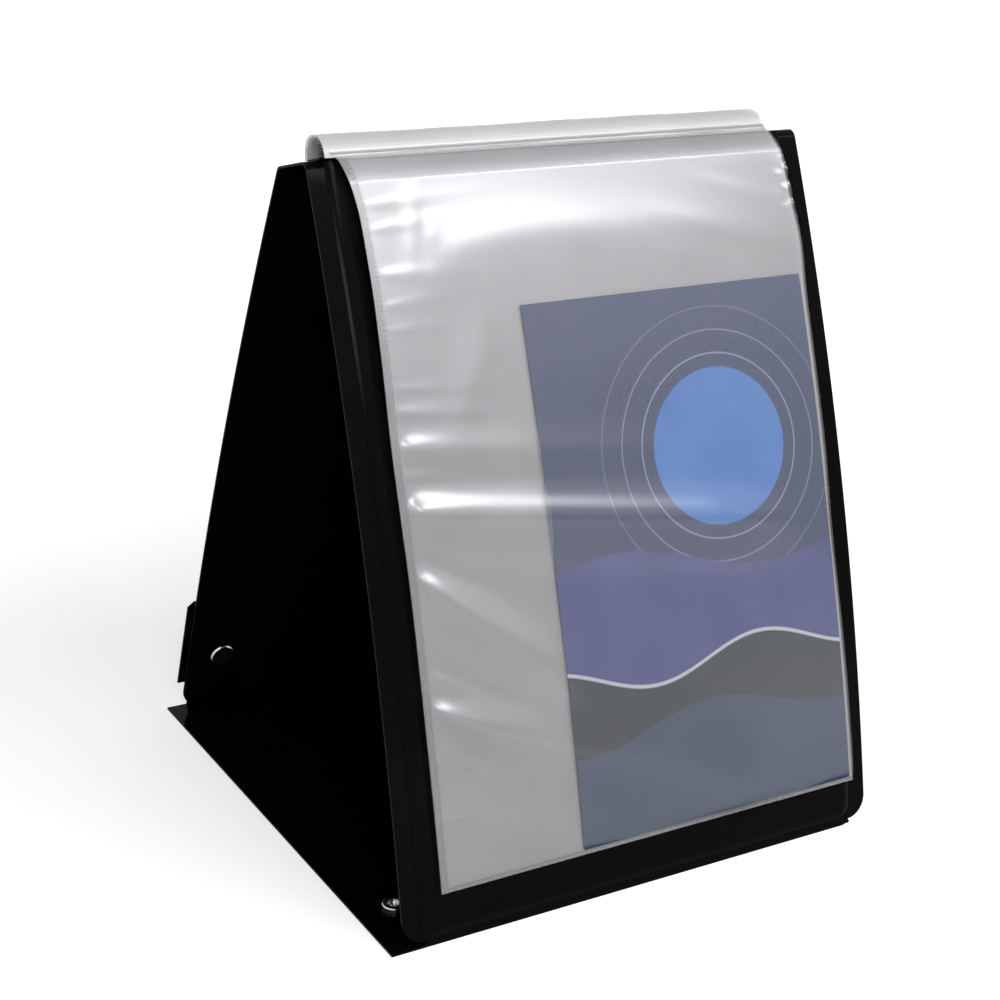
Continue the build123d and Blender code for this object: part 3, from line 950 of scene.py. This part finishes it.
def spine_bends():
    """Where the spine bends into the front cover and into the rear one."""
    top_up = np.array(FRONT.at(FRONT.length)) - np.array(FRONT.at(FRONT.length - 1 * MM))
    top_up /= np.linalg.norm(top_up)
    run = np.linalg.solve(np.stack([top_up, -SPINE_ALONG], -1), REAR_TOP - FRONT_TOP)
    front_turn = math.atan2(top_up[1], top_up[0]) + SPINE_TILT
    rear_down = np.array(REAR.at(REAR.length - 1 * MM)) - np.array(REAR.at(REAR.length))
    rear_turn = abs(math.atan2(rear_down[1], rear_down[0])) - SPINE_TILT
    return SimpleNamespace(
        corner=FRONT_TOP + top_up * run[0],
        front_turn=front_turn,
        front_setback=FOLD_RADIUS * math.tan(front_turn / 2),
        front_over=run[0],
        rear_turn=rear_turn,
        rear_setback=FOLD_RADIUS * math.tan(rear_turn / 2),
    )


BENDS = spine_bends()
SPINE_UP = math.pi / 2 - SPINE_TILT


def front_sheet():
    """The front cover and the spine, one sheet with a bend at the top."""
    reach = span("front_cover")
    reach.top = FRONT.length + BENDS.front_over - BENDS.front_setback
    places = corner_rows(reach, COVER_CORNER, 6 * MM)
    panel = np.stack(FRONT.at(places), -1)
    bend_end = BENDS.corner + SPINE_ALONG * BENDS.front_setback
    bend_centre = bend_end - SPINE_OUT * FOLD_RADIUS
    bend = arc_points(bend_centre, FOLD_RADIUS, SPINE_UP + BENDS.front_turn, SPINE_UP)
    spine_end = REAR_TOP - SPINE_ALONG * BENDS.rear_setback
    spine = [bend_end + (spine_end - bend_end) * share for share in np.linspace(0, 1, 6)]
    path = np.concatenate([panel[:-1], bend, spine[1:]])
    draw_in = np.zeros(len(path))
    draw_in[:len(places)] = rounded_outline(reach, COVER_CORNER, places)
    draw_in = draw_in[:, None]
    across = reach.left + draw_in + (reach.width - 2 * draw_in) * np.linspace(0, 1, 50)
    piece = folded_sheet("front_sheet", path, across, SHEET, BLACK)
    soften(piece)
    return dress(piece, "front_body", "black_sheet", "front_cover", "spine_panel")


def rear_sheet():
    """The rear cover, and its bend at the spine."""
    reach = span("rear_cover", REAR)
    reach.top = REAR.length - BENDS.rear_setback
    rows = corner_rows(reach, COVER_CORNER, 6 * MM)
    draw_in = rounded_outline(reach, COVER_CORNER, rows)[:, None]
    across = reach.left + draw_in + (reach.width - 2 * draw_in) * np.linspace(0, 1, 40)
    piece = sheet_on_line("rear_sheet", across, rows[:, None], -SHEET / 2, SHEET, BLACK, REAR)
    soften(piece)
    dress(piece, "rear_body", "black_sheet", "rear_cover")
    bend_start = REAR_TOP - SPINE_ALONG * BENDS.rear_setback
    bend_centre = bend_start - SPINE_OUT * FOLD_RADIUS
    path = arc_points(bend_centre, FOLD_RADIUS, SPINE_UP, SPINE_UP - BENDS.rear_turn)
    bend = folded_sheet("rear_bend", path, np.linspace(reach.left, reach.right, 50), SHEET, BLACK)
    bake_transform(bend)


BASE_CORNER = 9 * MM
FLAP_INSET = 4 * MM
FLAP_NOTCH, FLAP_NOTCH_HEIGHT = 10.5 * MM, 16 * MM
FLAP_NOTCH_STEP = 0.05 * MM
FLAP_CHAMFER = 3 * MM


def flat_base():
    """The flat sheet that the tent stands on, with its front right corner round."""
    low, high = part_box("base_sheet")
    reach = SimpleNamespace(foot=low.y, top=high.y)
    rows = corner_rows(reach, BASE_CORNER, 10 * MM)
    draw_in = rounded_outline(reach, BASE_CORNER, rows)
    path = np.stack([rows, np.full_like(rows, SHEET / 2)], -1)
    across = low.x + (high.x - low.x - draw_in[:, None]) * np.linspace(0, 1, 40)
    piece = folded_sheet("flat_base", path, across, SHEET, BLACK)
    soften(piece)
    return dress(piece, "base_body", "black_sheet", "base_sheet")


def flap_sheet():
    """The closing flap behind the rear cover, notched at its fold."""
    points = node_points("closing_flap")
    hinge = joint_place("flap_fold")
    arms = points[:, 1:] - hinge
    up = np.linalg.eigh(np.cov(arms.T))[1][:, 1]
    up = up * np.sign(up[1])
    foot, top = (arms @ up).min(), (arms @ up).max()
    notch_top = FLAP_NOTCH_HEIGHT
    notch = [(foot, FLAP_NOTCH), (notch_top / 2, FLAP_NOTCH), (notch_top, FLAP_NOTCH)]
    above = [notch_top + FLAP_NOTCH_STEP, (notch_top + top) / 2, top - FLAP_CHAMFER]
    ends = notch + [(row, FLAP_INSET) for row in above] + [(top, FLAP_INSET + FLAP_CHAMFER)]
    rows, draw_in = np.array(ends).T[:, :, None]
    path = hinge + rows * up
    left, right = points[:, 0].min(), points[:, 0].max()
    across = left + draw_in + (right - left - 2 * draw_in) * np.linspace(0, 1, 40)
    piece = folded_sheet("flap_sheet", path, across, SHEET, BLACK)
    soften(piece)
    return dress(piece, "flap_body", "black_sheet", "closing_flap")


# Webs at the folds, the front one by points on the base (back, up) and on the cover (along, outward)
FRONT_WEB = 0.5 * MM
FRONT_WEB_INSET = 2 * MM
FRONT_WEB_BASE = [(0.35 * MM, 0.55 * MM), (0.4 * MM, 1.3 * MM)]
FRONT_WEB_COVER = [(0.6 * MM, 0.05 * MM), (1.8 * MM, 0.1 * MM)]
FLAP_WEB = 0.3 * MM
FLAP_WEB_RADIUS = 0.32 * MM


def fold_webs():
    """The thin webs of sheet left at the front fold and at the flap's fold."""
    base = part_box("base_sheet")
    cover = span("front_cover")
    path = [np.array((base[0].y + back, up)) for back, up in FRONT_WEB_BASE]
    path += [np.array(FRONT.at(along, outward)) for along, outward in FRONT_WEB_COVER]
    left = max(base[0].x + FRONT_WEB_INSET, cover.left + COVER_CORNER)
    right = min(base[1].x - FRONT_WEB_INSET, cover.right - COVER_CORNER)
    web = folded_sheet("front_fold_web", path, np.linspace(left, right, 50), FRONT_WEB, BLACK)
    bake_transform(web)
    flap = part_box("closing_flap")
    hinge = joint_place("flap_fold")
    path = arc_points(hinge, FLAP_WEB_RADIUS, REAR_LEAN, -math.pi / 2)
    across = np.linspace(flap[0].x + FLAP_NOTCH, flap[1].x - FLAP_NOTCH, 50)
    web = folded_sheet("flap_fold_web", path, across, FLAP_WEB, BLACK)
    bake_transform(web)


# Snap parts: a socket's spring, and a rear cap's rolled edge and dish
SPRING_RING = 2.35 * MM
SPRING_WIRE_PLACE = 1.55 * MM
SPRING_WIRE_REACH = 1.7 * MM
SPRING_WIRE = 0.24 * MM
SPRING_SINK = 0.45 * MM
CAP_EDGE = 1.1 * MM
CAP_DISH = 0.15 * MM


def snap_face(node, facing):
    """The middle, directions and sizes of a snap part's outer face."""
    points = node_points(node)
    middle = (points.min(0) + points.max(0)) / 2
    axis = np.linalg.eigh(np.cov((points - middle).T))[1][:, 0]
    axis = axis * np.sign(axis @ np.array(facing))
    first = np.cross(axis, (0, 1, 0.3))
    first /= np.linalg.norm(first)
    height = ((points - middle) @ axis).max()
    radius = ((points - middle) @ first).max()
    second = np.cross(axis, first)
    return SimpleNamespace(
        middle=middle + axis * height, axis=axis, first=first, second=second,
        radius=radius, depth=2 * height,
    )


def snap_details():
    """The spring of each socket: a ring inside the rim and two wires."""
    turns = np.linspace(0, TURN, 49)
    reach = np.linspace(-SPRING_WIRE_REACH, SPRING_WIRE_REACH, 6)
    for side in SIDES:
        for place, body, facing in (("base", "base_body", (0, 0, 1)), ("flap", "flap_body", (0, -1, 0))):
            face = snap_face(f"{side}_{place}_socket", facing)
            seat = face.middle - face.axis * SPRING_SINK
            paths = [seat + SPRING_RING * spokes(face.first, face.second, turns)]
            for shift in (-SPRING_WIRE_PLACE, SPRING_WIRE_PLACE):
                paths.append(seat + face.first * shift + np.outer(reach, face.second))
            piece = wire_piece(f"{side}_{place}_spring", paths, SPRING_WIRE, METAL)
            dress(piece, body, "snap_metal")


def rolled_caps():
    """The rear caps, pressed with a rolled edge and a shallow dish."""
    turns = np.linspace(0, TURN, 64, endpoint=False)
    bend = np.linspace(0, math.pi / 2, 8)
    for side in SIDES:
        node = f"{side}_rear_cap"
        face = snap_face(node, (0, -1, 0))
        radii = [face.radius, *(face.radius - CAP_EDGE * (1 - np.cos(bend))), face.radius - 2 * CAP_EDGE]
        sinks = [face.depth, *(CAP_EDGE * (1 - np.sin(bend))), CAP_DISH]
        rim = spokes(face.first, face.second, turns)
        rings = [face.middle - face.axis * sink + radius * rim for radius, sink in zip(radii, sinks)]
        faces = tube_faces(len(rings), len(turns))
        piece = mesh_piece(f"{side}_rear_cap_dome", np.concatenate(rings), faces, METAL)
        dress(piece, "rear_body", "snap_metal", node)


def carried_over():
    """Finishes for the solids that stay as they are."""
    kinds = ("base_socket", "base_cap", "flap_socket", "flap_cap", "rear_stud")
    finishes = {f"{side}_{kind}": METAL for side in SIDES for kind in kinds}
    finishes["binding_strip"] = BLACK
    for node, material in finishes.items():
        NODES[node].data.materials.clear()
        NODES[node].data.materials.append(material)
    soften(NODES["binding_strip"])


# Studio

FLOOR_REACH = 4.0
FLOOR_DROP = 0.05 * MM
# The floor's own glow, rising away from the book
GLOW_FROM, GLOW_TO = 0.25, 1.5
GLOW_NEAR, GLOW_FAR = 0.6, 0.9
WORLD_LIGHT = 0.26
LIGHT_TARGET = Vector((0, -0.03, 0.17))


def seen_rays(tree):
    """1 for the rays that see or mirror a thing, 0 for those that only carry its light."""
    path = tree.nodes.new("ShaderNodeLightPath")
    seen = path.outputs["Is Camera Ray"]
    for ray in ("Is Glossy Ray", "Is Transmission Ray"):
        either = tree.nodes.new("ShaderNodeMath")
        either.operation = "MAXIMUM"
        tree.links.new(seen, either.inputs[0])
        tree.links.new(path.outputs[ray], either.inputs[1])
        seen = either.outputs[0]
    return seen


def floor():
    """A white floor that keeps a soft shadow."""
    low, high = -FLOOR_REACH, FLOOR_REACH
    corners = [(low, low, 0), (high, low, 0), (high, high, 0), (low, high, 0)]
    n = Nodes("floor")
    from_middle = n.node("ShaderNodeVectorMath", 1, {"operation": "LENGTH"}, Vector=n.place())
    glow = n.node(
        "ShaderNodeMapRange", Value=from_middle, From_Min=GLOW_FROM, From_Max=GLOW_TO,
        To_Min=GLOW_NEAR, To_Max=GLOW_FAR,
    )
    n.set(
        Base_Color=(0.8, 0.8, 0.8), Roughness=0.9, Specular_IOR_Level=0.0,
        Emission_Color=(1.0, 1.0, 1.0), Emission_Strength=n.math("MULTIPLY", seen_rays(n.tree), glow),
    )
    piece = mesh_piece("floor", corners, [(0, 1, 2, 3)], n.material)
    piece.location.z = -FLOOR_DROP


def world():
    """White wherever it is seen or mirrored, and a plain soft light for the rest."""
    made = bpy.data.worlds.new("studio")
    bpy.context.scene.world = made
    made.use_nodes = True
    tree = made.node_tree
    background = tree.nodes["Background"]
    background.inputs["Color"].default_value = (1, 1, 1, 1)
    level = tree.nodes.new("ShaderNodeMapRange")
    tree.links.new(seen_rays(tree), level.inputs["Value"])
    level.inputs["To Min"].default_value = WORLD_LIGHT
    tree.links.new(level.outputs[0], background.inputs["Strength"])


def soft_box(name, azimuth, elevation, distance, size, radiance):
    """A soft box that faces the book, by degrees right of the front and above the floor."""
    turn, rise = math.radians(azimuth), math.radians(elevation)
    away = Vector((math.sin(turn) * math.cos(rise), -math.cos(turn) * math.cos(rise), math.sin(rise)))
    lamp = bpy.data.lights.new(name, "AREA")
    lamp.shape = "RECTANGLE"
    lamp.size, lamp.size_y = size
    lamp.energy = radiance * math.pi * size[0] * size[1]
    box = bpy.data.objects.new(name, lamp)
    bpy.context.scene.collection.objects.link(box)
    aim = away.to_track_quat("Z", "Y").to_matrix().to_4x4()
    box.matrix_world = Matrix.Translation(LIGHT_TARGET + away * distance) @ aim


def lights():
    """A long soft box that the film mirrors, a faint one below it and a small edge light."""
    soft_box("key", 26, 41, 3.0, (2.5, 0.56), 11.0)
    soft_box("glow", 26, 24, 3.0, (3.2, 1.0), 0.55)
    soft_box("edge", -22, 27, 2.0, (0.55, 0.3), 14.0)


def camera():
    """The photograph's view."""
    forward = Vector((
        math.sin(CAMERA_YAW) * math.cos(CAMERA_PITCH),
        math.cos(CAMERA_YAW) * math.cos(CAMERA_PITCH),
        -math.sin(CAMERA_PITCH),
    ))
    right = Vector((math.cos(CAMERA_YAW), -math.sin(CAMERA_YAW), 0))
    down = forward.cross(right)
    tilted_right = right * math.cos(CAMERA_ROLL) + down * math.sin(CAMERA_ROLL)
    tilted_down = down * math.cos(CAMERA_ROLL) - right * math.sin(CAMERA_ROLL)
    lens = bpy.data.cameras.new("camera")
    lens.lens = CAMERA_LENS_MM
    lens.sensor_width = SENSOR_MM
    lens.clip_start = 0.01
    eye = bpy.data.objects.new("camera", lens)
    bpy.context.scene.collection.objects.link(eye)
    axes = Matrix((tilted_right, -tilted_down, -forward)).transposed().to_4x4()
    eye.matrix_world = Matrix.Translation(Vector(CAMERA_PLACE)) @ axes
    bpy.context.scene.camera = eye


camera()
world()
lights()
floor()
carried_over()
front_sheet()
backing_panel()
rear_sheet()
flat_base()
flap_sheet()
fold_webs()
snap_details()
rolled_caps()
for leaf_number in range(1, 10):
    inner_leaf(leaf_number)
back_film()
printed_card()
face_film()
pocket_welds()
rolled_heads()
leaf_bends()

bpy.context.scene.view_settings.view_transform = "Standard"
